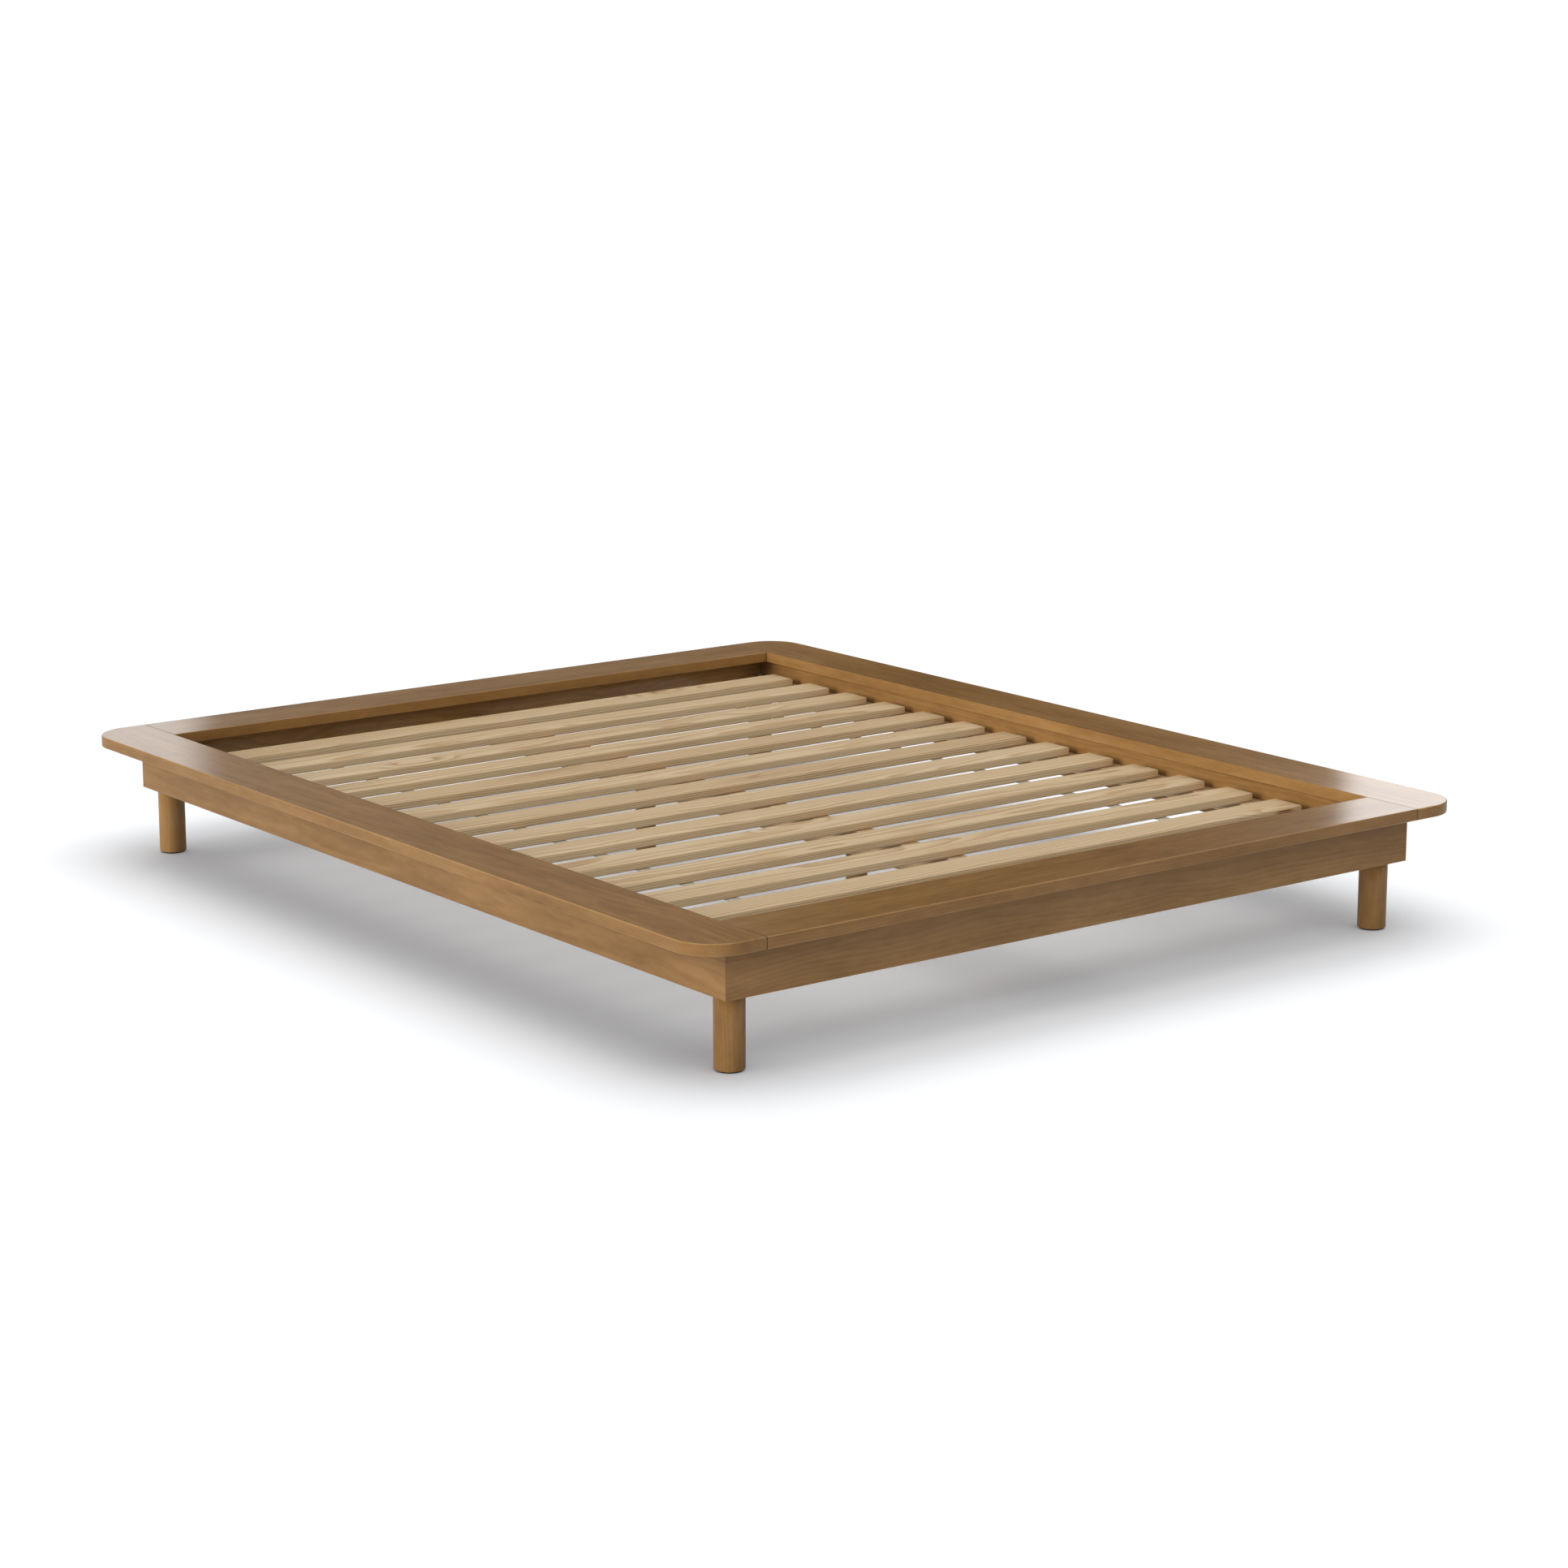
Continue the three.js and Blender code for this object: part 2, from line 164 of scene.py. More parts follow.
def blank(node):
    """A cuboid that fills a CAD node's box."""
    low, high, middle = box(node)
    bm = bmesh.new()
    bmesh.ops.create_cube(bm, size=1)
    bmesh.ops.scale(bm, vec=high - low, verts=bm.verts)
    bmesh.ops.translate(bm, vec=middle, verts=bm.verts)
    return bm


def copy_of_cad(node):
    """The CAD node's own shape, with whole faces instead of loose triangles."""
    bm = bmesh.new()
    bm.from_mesh(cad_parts[node].data)
    bmesh.ops.remove_doubles(bm, verts=bm.verts, dist=0.01 * MM)
    bmesh.ops.dissolve_limit(bm, angle_limit=math.radians(1), verts=bm.verts, edges=bm.edges)
    return bm


def bevel(bm, edges, width, steps):
    """Bevels edges and gives back the new faces."""
    return bmesh.ops.bevel(
        bm,
        geom=list(edges),
        offset=width,
        offset_type="OFFSET",
        segments=steps,
        profile=0.5,
        affect="EDGES",
        clamp_overlap=True,
        material=-1,
    )["faces"]


def round_over(bm, edges, radius, steps=3, edge_mark=1.0):
    """Rounds edges over, and marks the new faces: 1 where the edge is painted paler, as a little wear and a
    painted highlight, below 0 in a dark seam.
    """
    eased = bm.faces.layers.float.get("eased") or bm.faces.layers.float.new("eased")
    faces = bevel(bm, edges, radius, steps)
    for face in faces:
        face.smooth = True
        face[eased] = edge_mark
    return faces


def sharp_edges(bm, longer_than=0.0, least=30):
    """Edges that turn by more than the least angle, in degrees."""
    return [
        edge
        for edge in bm.edges
        if edge.is_manifold
        and edge.calc_face_angle(0) > math.radians(least)
        and edge.calc_length() > longer_than
    ]


def lies_on(edge, axis, place):
    """Whether an edge lies on a plane square to an axis: 0 for X, 1 for Y."""
    return all(abs(vert.co[axis] - place) < TOUCH for vert in edge.verts)


def upright(edge):
    first, second = (vert.co for vert in edge.verts)
    return (first - second).xy.length < TOUCH


def arc(centre_radius, centre_height, radius, start, end, steps):
    """Profile points on an arc, from start to end in degrees from the outward direction."""
    angles = [math.radians(start + (end - start) * step / steps) for step in range(steps + 1)]
    return [(centre_radius + radius * math.cos(a), centre_height + radius * math.sin(a)) for a in angles]


def turn(bm, profile, base, axis, steps, crisp=25):
    """Turns a profile of (radius, height) points about an axis that starts at base."""
    out = axis.orthogonal().normalized()
    points = [bm.verts.new(base + out * radius + axis * height) for radius, height in profile]
    edges = [bm.edges.new(pair) for pair in zip(points, points[1:])]
    bmesh.ops.spin(
        bm, geom=points + edges, cent=base, axis=axis, angle=math.tau, steps=steps, use_merge=True
    )
    bmesh.ops.remove_doubles(bm, verts=bm.verts, dist=0.001 * MM)
    bmesh.ops.recalc_face_normals(bm, faces=bm.faces)
    for face in bm.faces:
        face.smooth = True
    for edge in bm.edges:
        edge.smooth = edge.calc_face_angle(0) < math.radians(crisp)


def add_part(bm, part):
    """Adds a finished part to a piece's mesh."""
    mesh = bpy.data.meshes.new("part")
    part.to_mesh(mesh)
    part.free()
    bm.from_mesh(mesh)
    bpy.data.meshes.remove(mesh)


def new_piece(name, bm, nodes=(), finish=None):
    """Makes a piece that rides with the frame and stands for its CAD nodes."""
    mesh = bpy.data.meshes.new(name)
    bm.to_mesh(mesh)
    bm.free()
    piece = bpy.data.objects.new(name, mesh)
    bpy.context.scene.collection.objects.link(piece)
    if finish:
        mesh.materials.append(finish)
    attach(piece, "root")
    if nodes:
        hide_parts(*nodes)
    return piece


# Materials.

class Nodes:
    """Adds nodes to a node tree and joins them up."""

    def __init__(self, tree):
        self.tree = tree

    def feed(self, socket, value):
        if isinstance(value, bpy.types.NodeSocket):
            self.tree.links.new(value, socket)
        else:
            socket.default_value = value

    def add(self, kind, inputs, output=0, **settings):
        node = self.tree.nodes.new(kind)
        for name, value in settings.items():
            setattr(node, name, value)
        for name, value in inputs.items():
            self.feed(node.inputs[name], value)
        return node.outputs[output]

    def maths(self, operation, first, second=0.0, third=0.0):
        return self.add("ShaderNodeMath", {0: first, 1: second, 2: third}, operation=operation)

    def vectors(self, operation, first, second, output=0):
        return self.add("ShaderNodeVectorMath", {0: first, 1: second}, output, operation=operation)

    def times(self, value, by):
        return self.maths("MULTIPLY", value, by)

    def times_add(self, value, by, to):
        return self.maths("MULTIPLY_ADD", value, by, to)

    def centred(self, value):
        return self.maths("SUBTRACT", value, 0.5)

    def noise(self, place, repeats, detail=2.0, roughness=0.5, output="Fac"):
        """Noise that repeats so many times in a metre along each axis."""
        scaled = self.vectors("MULTIPLY", place, repeats)
        inputs = {"Vector": scaled, "Scale": 1.0, "Detail": detail, "Roughness": roughness}
        return self.add("ShaderNodeTexNoise", inputs, output)

    def spread(self, value, low, high, to_low=0.0, to_high=1.0, smooth=False):
        """Maps low..high to to_low..to_high, and holds the ends."""
        inputs = {"Value": value, "From Min": low, "From Max": high, "To Min": to_low, "To Max": to_high}
        kind = "SMOOTHSTEP" if smooth else "LINEAR"
        return self.add("ShaderNodeMapRange", inputs, "Result", interpolation_type=kind, clamp=True)

    def rise(self, value, low, high):
        return self.spread(value, low, high, smooth=True)

    def fall(self, value, low, high):
        return self.spread(value, low, high, 1.0, 0.0, smooth=True)

    def window(self, value, rise, fall):
        """1 from the end of the rise to the start of the fall, and 0 outside them."""
        return self.times(self.rise(value, *rise), self.fall(value, *fall))

    def ramp(self, share, stops):
        colours = self.tree.nodes.new("ShaderNodeValToRGB")
        elements = colours.color_ramp.elements
        while len(elements) < len(stops):
            elements.new(0.5)
        for element, (place, colour) in zip(elements, stops):
            element.position = place
            element.color = (*colour, 1)
        self.feed(colours.inputs["Fac"], share)
        return colours.outputs["Color"]

    def bump(self, height, distance):
        inputs = {"Height": height, "Distance": distance, "Strength": 1.0}
        return self.add("ShaderNodeBump", inputs, "Normal")

    def stored(self, name):
        return self.add("ShaderNodeAttribute", {}, "Fac", attribute_name=name)


class Finish(Nodes):
    """One material, with its surface shader."""

    def __init__(self, name):
        self.material = bpy.data.materials.new(name)
        self.material.use_nodes = True
        super().__init__(self.material.node_tree)
        self.surface = self.tree.nodes["Principled BSDF"]

    def place(self):
        return self.add("ShaderNodeTexCoord", {}, "Object")

    def mapped(self, vector, rotation, location):
        inputs = {"Vector": vector, "Rotation": rotation, "Location": location}
        return self.add("ShaderNodeMapping", inputs)

    def finish(self, **sockets):
        for name, value in sockets.items():
            self.feed(self.surface.inputs[name.replace("_", " ")], value)
        return self.material


# Timber. A pattern gives its repeats in a metre along, across and through the plank, then its detail and
# roughness.

GRAIN = {
    "coarse": ((2.2, 210, 210), 3.0, 0.62),
    "fine": ((12, 1100, 1100), 3.0, 0.65),
    "cloud": ((3.2, 17, 17), 3.0, 0.55),
    "flame": ((26, 60, 60), 2.0, 0.5),
}
BROAD = ((0.8, 4, 4), 1.0)
CURL = ((3.5, 16, 16), 2.0)
SWAY = ((0.9, 5, 5), 1.0)
FLECKS = ((110, 2100, 2100), 1.0)
FLECK_EDGE = (0.60, 0.74)

# How near a knot the rings bulge and the wood darkens, in shares of the knots' spacing.
KNOT_SWELL = (0.03, 0.30)
KNOT_HEART = (0.02, 0.075)
KNOT_BULGE = 11 * MM
KNOT_SHADE = 0.18

# A ring darkens slowly and ends sharply. Some years are darker than others.
RING_START = (0.15, 0.88)
RING_END = (0.88, 1.0)
YEARS = ((0.31, 0, 0), 1.0)
YEAR_SWING = 1.3
YEAR_DEPTH = 2.2

MIDDLE_SHADE = 0.42
TONE_SHADE = 0.07
END_GRAIN_SHADE = 0.12
END_GRAIN_POWER = 4.0
FIBRE_RANGE = (0.3, 0.7)
COAT_ROUGHNESS = 0.08

# The relief of each part of the pattern: fibres stand up, and flecks and dark rings sink.
COARSE_RELIEF = 0.7
FINE_RELIEF = 0.5
FLECK_RELIEF = -0.6
RING_RELIEF = -0.25

# Where in a tree a board may be cut from: along the trunk, to its side and out from its middle.
CUT_ALONG = (0, 60)
CUT_ASIDE = (-0.06, 0.06)
CUT_OUT = (0.08, 0.20)

# A leg is glued up from two staves, and the pattern starts again in the second one.
STAVE_DIRECTION = (0, 0.8, 0.6)
STAVE_SEAM = 0.004
STAVE_JUMP = (7.3, 0.05, 0.045)
STAVE_TONES = (-0.5, 1.1)


def timber_group(name, timber):
    """The pattern of a timber: growth rings round the tree's middle, fibres, flecks, figure and knots.

    Place is in metres along the grain, across it and through the plank, from the tree's middle.
    """
    group = bpy.data.node_groups.new(name, "ShaderNodeTree")
    for socket, kind in (("Place", "NodeSocketVector"), ("Tone", "NodeSocketFloat")):
        group.interface.new_socket(socket, in_out="INPUT", socket_type=kind)
    for socket in ("Share", "Fibre", "Height"):
        group.interface.new_socket(socket, in_out="OUTPUT", socket_type="NodeSocketFloat")
    given = group.nodes.new("NodeGroupInput").outputs
    nodes = Nodes(group)
    place = given["Place"]

    cells = nodes.vectors("DIVIDE", place, timber["knot_spacing"])
    near = nodes.add("ShaderNodeTexVoronoi", {"Vector": cells, "Scale": 1.0}, "Distance")
    swell = nodes.fall(near, *KNOT_SWELL)
    heart = nodes.fall(near, *KNOT_HEART)

    curl = nodes.noise(place, *CURL, output="Color")
    curl = nodes.vectors("SUBTRACT", curl, (0.5, 0.5, 0.5))
    curl = nodes.vectors("MULTIPLY", curl, (0.0, timber["curl"], timber["curl"]))
    bent = nodes.vectors("ADD", place, curl)

    flat = nodes.vectors("MULTIPLY", bent, (0.0, 1.0, 1.0))
    radius = nodes.vectors("LENGTH", flat, (0, 0, 0), "Value")
    radius = nodes.times_add(nodes.noise(place, *SWAY), timber["sway"], radius)
    radius = nodes.times_add(swell, KNOT_BULGE, radius)
    ring_count = nodes.maths("DIVIDE", radius, timber["ring_width"])
    ring = nodes.window(nodes.maths("FRACT", ring_count), RING_START, RING_END)
    year = nodes.noise(nodes.add("ShaderNodeCombineXYZ", {"X": ring_count}), *YEARS)
    depth = nodes.times_add(nodes.centred(year), YEAR_SWING, timber["rings"])
    depth = nodes.maths("MAXIMUM", nodes.times(depth, timber["rings"] * YEAR_DEPTH), 0.0)

    grain = {part: nodes.noise(bent, *pattern) for part, pattern in GRAIN.items()}
    grain["broad"] = nodes.noise(place, *BROAD)
    fleck = nodes.rise(nodes.noise(bent, *FLECKS), *FLECK_EDGE)

    share = nodes.times_add(nodes.centred(ring), timber["rings"], MIDDLE_SHADE)
    share = nodes.times_add(nodes.centred(ring), depth, share)
    for part in ("coarse", "fine", "cloud", "broad", "flame"):
        share = nodes.times_add(nodes.centred(grain[part]), timber[part], share)
    share = nodes.times_add(fleck, timber["fleck"], share)
    share = nodes.times_add(heart, timber["knot"], share)
    share = nodes.times_add(swell, timber["knot"] * KNOT_SHADE, share)
    share = nodes.times_add(given["Tone"], TONE_SHADE, share)

    height = nodes.times_add(grain["fine"], FINE_RELIEF, nodes.times(grain["coarse"], COARSE_RELIEF))
    height = nodes.times_add(fleck, FLECK_RELIEF, height)
    height = nodes.times_add(ring, RING_RELIEF, height)

    out = group.nodes.new("NodeGroupOutput")
    for socket, value in (("Share", share), ("Fibre", grain["coarse"]), ("Height", height)):
        nodes.feed(out.inputs[socket], value)
    return group


LACQUERED = {
    "slot": "lacquered_wood",
    "ring_width": 5.2 * MM,
    "rings": 0.08,
    "coarse": 0.17,
    "fine": 0.23,
    "cloud": 0.78,
    "broad": 0.34,
    "flame": 0.30,
    "fleck": 0.10,
    "curl": 0.016,
    "sway": 0.040,
    "knot": 0.45,
    "knot_spacing": (0.60, 0.21, 0.13),
    "stops": [
        (0.00, (0.424, 0.236, 0.085)),
        (0.42, (0.288, 0.149, 0.047)),
        (0.70, (0.210, 0.103, 0.031)),
        (0.92, (0.122, 0.055, 0.017)),
        (1.00, (0.060, 0.026, 0.009)),
    ],
    "roughness": (0.34, 0.46),
    "relief": 0.022 * MM,
    "shine": 0.03,
    "coat": 0.68,
    # Eased edges are painted paler than the faces: a painted highlight along the rim, with a little wear.
    "wear_and_highlight": -0.22,
}

PLAIN = LACQUERED | {
    "slot": "plain_wood",
    "ring_width": 3.4 * MM,
    "rings": 0.16,
    "coarse": 0.5,
    "fine": 0.34,
    "knot_spacing": (0.50, 0.16, 0.11),
    "stops": [
        (0.00, (0.640, 0.470, 0.290)),
        (0.40, (0.540, 0.375, 0.215)),
        (0.70, (0.430, 0.280, 0.150)),
        (1.00, (0.190, 0.105, 0.052)),
    ],
    "roughness": (0.55, 0.72),
    "relief": 0.12 * MM,
    "shine": 0.3,
    "coat": 0.0,
    "wear_and_highlight": -0.06,
}

SOFTWOOD = LACQUERED | {
    "slot": "slat_wood",
    "ring_width": 4.6 * MM,
    "rings": 0.30,
    "coarse": 0.34,
    "fine": 0.28,
    "cloud": 0.30,
    "flame": 0.05,
    "fleck": 0.03,
    "curl": 0.010,
    "knot": 0.62,
    "knot_spacing": (0.52, 0.13, 0.10),
    "stops": [
        (0.00, (0.700, 0.545, 0.345)),
        (0.40, (0.610, 0.440, 0.250)),
        (0.70, (0.500, 0.320, 0.160)),
        (1.00, (0.190, 0.090, 0.040)),
    ],
    "roughness": (0.52, 0.70),
    "relief": 0.10 * MM,
    "shine": 0.3,
    "coat": 0.0,
    "wear_and_highlight": -0.05,
}

for recipe in (LACQUERED, PLAIN, SOFTWOOD):
    recipe["group"] = timber_group(f"{recipe['slot']}_figure", recipe)


def in_two_staves(finish, place, start, tone):
    """The place and tone of a pattern that starts again in a leg's second stave."""
    from_start = finish.vectors("SUBTRACT", place, start)
    side = finish.vectors("DOT_PRODUCT", from_start, STAVE_DIRECTION, "Value")
    second = finish.maths("GREATER_THAN", side, STAVE_SEAM)
    jump = finish.vectors("SCALE", STAVE_JUMP, (0, 0, 0))
    finish.feed(jump.node.inputs["Scale"], second)
    first_tone, step = STAVE_TONES
    return finish.vectors("ADD", place, jump), finish.times_add(second, step, tone + first_tone)


def timber(node, recipe, along, across, tone=0.0, staves=False):
    """A board's own finish: the pattern is turned along it and cut from its own part of a tree."""
    _, _, middle = box(node)
    finish = Finish(f"{recipe['slot']}_{node}")
    turned = Matrix((along, across, along.cross(across)))
    start = Vector([scatter.uniform(*reach) for reach in (CUT_ALONG, CUT_ASIDE, CUT_OUT)])
    # The tone given carries painted shade on the legs; a random tone of the board's own is added to it.
    tone += scatter.uniform(-1, 1)
    place = finish.mapped(finish.place(), turned.to_euler(), start - turned @ middle)
    if staves:
        place, tone = in_two_staves(finish, place, start, tone)
    group = finish.add("ShaderNodeGroup", {"Place": place, "Tone": tone}, 0, node_tree=recipe["group"])
    pattern = group.node.outputs

    # Fibres cut across drink more stain, and eased edges are painted a little paler: partly wear, partly a
    # painted highlight along the rim.
    normal = finish.add("ShaderNodeTexCoord", {}, "Normal")
    end_grain = finish.maths("ABSOLUTE", finish.vectors("DOT_PRODUCT", normal, tuple(along), "Value"))
    end_grain = finish.maths("POWER", end_grain, END_GRAIN_POWER)
    share = finish.times_add(end_grain, END_GRAIN_SHADE, pattern["Share"])
    share = finish.times_add(finish.stored("eased"), recipe["wear_and_highlight"], share)
    return finish.finish(
        Base_Color=finish.ramp(share, recipe["stops"]),
        Roughness=finish.spread(pattern["Fibre"], *FIBRE_RANGE, *recipe["roughness"]),
        Normal=finish.bump(pattern["Height"], recipe["relief"]),
        Specular_IOR_Level=recipe["shine"],
        Coat_Weight=recipe["coat"],
        Coat_Roughness=COAT_ROUGHNESS,
    )


# Metal, felt and cotton.

def zinc_plate():
    """Zinc plate, softly mottled, with fine turning marks."""
    mottle_repeats, scratch_repeats, scratch_depth = (110, 110, 110), (700, 700, 3000), 0.02 * MM
    finish = Finish("zinc_plate")
    place = finish.place()
    mottle = finish.noise(place, mottle_repeats, 3.0)
    scratch = finish.noise(place, scratch_repeats, 2.0)
    return finish.finish(
        Base_Color=finish.ramp(mottle, [(0.3, (0.42, 0.42, 0.41)), (0.7, (0.60, 0.59, 0.55))]),
        Metallic=1.0,
        Roughness=finish.spread(mottle, 0.3, 0.7, 0.26, 0.44),
        Normal=finish.bump(scratch, scratch_depth),
    )


def galvanised_sheet():
    """Galvanised steel: a spangle of grey crystals under a little grime."""
    spangles, grime_repeats, grime_depth = 170.0, (60, 60, 60), 0.06 * MM
    finish = Finish("galvanised_sheet")
    place = finish.place()
    spangle = finish.add("ShaderNodeTexVoronoi", {"Vector": place, "Scale": spangles}, "Color")
    grey = finish.add("ShaderNodeSeparateColor", {"Color": spangle}, "Red")
    grime = finish.noise(place, grime_repeats, 3.0)
    share = finish.times_add(grime, 0.6, finish.times(grey, 0.5))
    return finish.finish(
        Base_Color=finish.ramp(share, [(0.15, (0.33, 0.34, 0.35)), (0.85, (0.55, 0.56, 0.57))]),
        Metallic=1.0,
        Roughness=finish.spread(grey, 0.0, 1.0, 0.32, 0.50),
        Normal=finish.bump(grime, grime_depth),
    )


def dark_felt():
    """Dense felt, almost black."""
    hair_repeats, hair_depth = (1500, 1500, 800), 0.3 * MM
    finish = Finish("dark_felt")
    hairs = finish.noise(finish.place(), hair_repeats, 3.0, 0.7)
    return finish.finish(
        Base_Color=finish.ramp(hairs, [(0.3, (0.018, 0.012, 0.010)), (0.75, (0.075, 0.050, 0.040))]),
        Roughness=0.95,
        Normal=finish.bump(hairs, hair_depth),
    )


def cotton_tape(middle):
    """Herringbone weave in unbleached cotton, with its zigzag across the tape."""
    twill_half_width, twill_pitch, cord_pitch, cord_share = 3.75 * MM, 2.2 * MM, 1.1 * MM, 0.35
    cloud_repeats, weave_depth = (160, 40, 40), 0.3 * MM
    finish = Finish("cotton_tape")
    place = finish.mapped(finish.place(), (0, 0, 0), -middle)
    split = finish.add("ShaderNodeSeparateXYZ", {"Vector": place}, "X")
    zigzag = finish.maths("PINGPONG", split, twill_half_width)
    slant = finish.maths("ADD", split.node.outputs["Y"], zigzag)
    twill = finish.maths("SINE", finish.times(slant, math.tau / twill_pitch))
    cord = finish.maths("SINE", finish.times(split, math.tau / cord_pitch))
    reach = 1 + cord_share
    thread = finish.spread(finish.times_add(cord, cord_share, twill), -reach, reach)
    cloud = finish.noise(place, cloud_repeats, 3.0)
    share = finish.times_add(cloud, 0.5, finish.times(thread, 0.5))
    return finish.finish(
        Base_Color=finish.ramp(share, [(0.15, (0.36, 0.32, 0.25)), (0.75, (0.66, 0.61, 0.51))]),
        Roughness=0.9,
        Sheen_Weight=0.25,
        Normal=finish.bump(thread, weave_depth),
    )


def wooden(node, bm, recipe, along, across, **cut):
    """Makes the wooden piece that stands for a CAD node."""
    finish = timber(node, recipe, along, across, **cut)
    return new_piece(f"{node}_finished", bm, [node], finish)


# Ledge.

def side_ledge(side):
    """A full-length board that carries two of the ledge's rounded corners."""
    node = f"side_ledge_{side}"
    low, high, _ = box(node)
    outer, inner = (low.x, high.x) if side == "left" else (high.x, low.x)
    bm = blank(node)
    corners = [edge for edge in bm.edges if lies_on(edge, 0, outer) and upright(edge)]
    round_over(bm, corners, LEDGE_CORNER_RADIUS, LEDGE_CORNER_STEPS)
    eased = bm.faces.layers.float["eased"]
    for face in bm.faces:
        face[eased] = 0
    round_over(bm, [e for e in sharp_edges(bm) if not lies_on(e, 0, inner)], RIM_EASING, RIM_STEPS)

    # The inner edge is cut where the end boards begin, and only its joints with them are dark.
    opening = box("foot_ledge")[1].y
    for way in (-1, 1):
        everything = [*bm.verts, *bm.edges, *bm.faces]
        bmesh.ops.bisect_plane(bm, geom=everything, plane_co=Y * opening * way, plane_no=Y)
    inner_edges = [edge for edge in sharp_edges(bm, SEAM_EDGE) if lies_on(edge, 0, inner)]
    for face in round_over(bm, inner_edges, SEAM_EASING, SEAM_STEPS):
        if abs(face.calc_center_median().y) > abs(opening):
            face[eased] = SEAM_DARK
    wooden(node, bm, LACQUERED, Y, X)


def end_ledge(end):
    """A board butted between the side boards."""
    node = f"{end}_ledge"
    low, high, _ = box(node)
    outer, inner = (low.y, high.y) if end == "foot" else (high.y, low.y)
    bm = blank(node)
    for place, easing, steps in ((outer, RIM_EASING, RIM_STEPS), (inner, SEAM_EASING, SEAM_STEPS)):
        round_over(bm, [e for e in sharp_edges(bm, LONG_EDGE) if lies_on(e, 1, place)], easing, steps)
    butts = [e for e in sharp_edges(bm) if lies_on(e, 0, low.x) or lies_on(e, 0, high.x)]
    round_over(bm, butts, SEAM_EASING, SEAM_STEPS, SEAM_DARK)
    wooden(node, bm, LACQUERED, X, -Y)


# Apron.

def rail(node, along):
    """A mitred rail with its bolt holes. Its long edges are eased, and the mitre is kept crisp."""
    bm = copy_of_cad(node)
    round_over(bm, sharp_edges(bm, LONG_EDGE), RAIL_EASING)
    round_over(bm, [e for e in sharp_edges(bm, MITRE_EDGE) if upright(e)], MITRE_EASING, MITRE_STEPS)
    wooden(node, bm, LACQUERED, along, Z)


# Legs.

def leg(node, tone=0.0):
    """A round leg glued up from two staves, with the blind hole for its bolt."""
    low, high, middle = box(node)
    radius = (high.y - low.y) / 2
    foot, top = low.z, high.z
    hole_end = top - LEG_BOLT_DEPTH
    profile = [(0, foot)]
    profile += arc(radius - LEG_EASING, foot + LEG_EASING, LEG_EASING, -90, 0, 5)
    profile += arc(radius - LEG_TOP_EASING, top - LEG_TOP_EASING, LEG_TOP_EASING, 0, 90, 2)
    profile += [(BOLT_HOLE_RADIUS, top), (BOLT_HOLE_RADIUS, hole_end), (0, hole_end)]
    bm = bmesh.new()
    turn(bm, profile, on_floor(middle), Z, LEG_STEPS)
    # The leg's tone paints shade on it, darker or lighter by how the light falls where it stands.
    wooden(node, bm, LACQUERED, Z, X, tone=tone, staves=True)


def glide(node, felt):
    """A felt disc under a leg."""
    low, high, middle = box(node)
    radius = (high.y - low.y) / 2
    profile = [(0, low.z)]
    profile += arc(radius - GLIDE_EASING, low.z + GLIDE_EASING, GLIDE_EASING, -90, 0, 3)
    profile += [(radius, high.z), (0, high.z)]
    bm = bmesh.new()
    turn(bm, profile, on_floor(middle), Z, GLIDE_STEPS)
    new_piece(f"{node}_finished", bm, [node], felt)


# Supports.

def planed(node, recipe, easing, along, across, longer_than):
    """A piece in the CAD's own shape, with its longer edges eased."""
    bm = copy_of_cad(node)
    round_over(bm, sharp_edges(bm, longer_than), easing, PLANED_STEPS)
    wooden(node, bm, recipe, along, across)


def board(node, recipe, easing, along, across):
    """A plain board with all its edges eased."""
    bm = blank(node)
    round_over(bm, bm.edges, easing)
    wooden(node, bm, recipe, along, across)


# Bolts and screws.

def hexagon(base, axis):
    """A bolt head or nut, with its corners chamfered on both faces."""
    bm = bmesh.new()
    turned = axis.to_track_quat("Z", "Y").to_matrix().to_4x4()
    bmesh.ops.create_cone(
        bm,
        cap_ends=True,
        segments=6,
        radius1=HEX_RADIUS,
        radius2=HEX_RADIUS,
        depth=HEX_HEIGHT,
        matrix=Matrix.Translation(base + axis * HEX_HEIGHT / 2) @ turned,
    )
    rims = [e for e in bm.edges if abs((e.verts[0].co - e.verts[1].co).dot(axis)) < TOUCH]
    bevel(bm, rims, HEX_CHAMFER, 2)
    return bm


def threaded(start, end):
    """Profile points of a threaded rod: a ridge for each turn of the thread, and a chamfer at both ends."""
    core = BOLT_RADIUS - THREAD_DEPTH
    points = [(0, start), (core, start)]
    for number in range(int((end - start) / THREAD_PITCH) - 1):
        height = start + (number + FIRST_RIDGE) * THREAD_PITCH
        points += [(BOLT_RADIUS, height), (core, height + THREAD_PITCH / 2)]
    return points + [(core, end), (0, end)]


def washer_profile(start):
    """Profile points of a washer that starts at a height, with its rim eased on both faces."""
    inner, outer = BOLT_RADIUS + WASHER_PLAY, WASHER_RADIUS - WASHER_EASING
    end = start + WASHER_THICKNESS
    rim = arc(outer, start + WASHER_EASING, WASHER_EASING, -90, 0, 2)
    rim += arc(outer, end - WASHER_EASING, WASHER_EASING, 0, 90, 2)
    return [(inner, start), *rim, (inner, end), (inner, start)]


def turned_part(bm, profile, base, axis, steps):
    """Adds a turned metal part to a piece's mesh."""
    part = bmesh.new()
    turn(part, profile, base, axis, steps, crisp=40)
    add_part(bm, part)


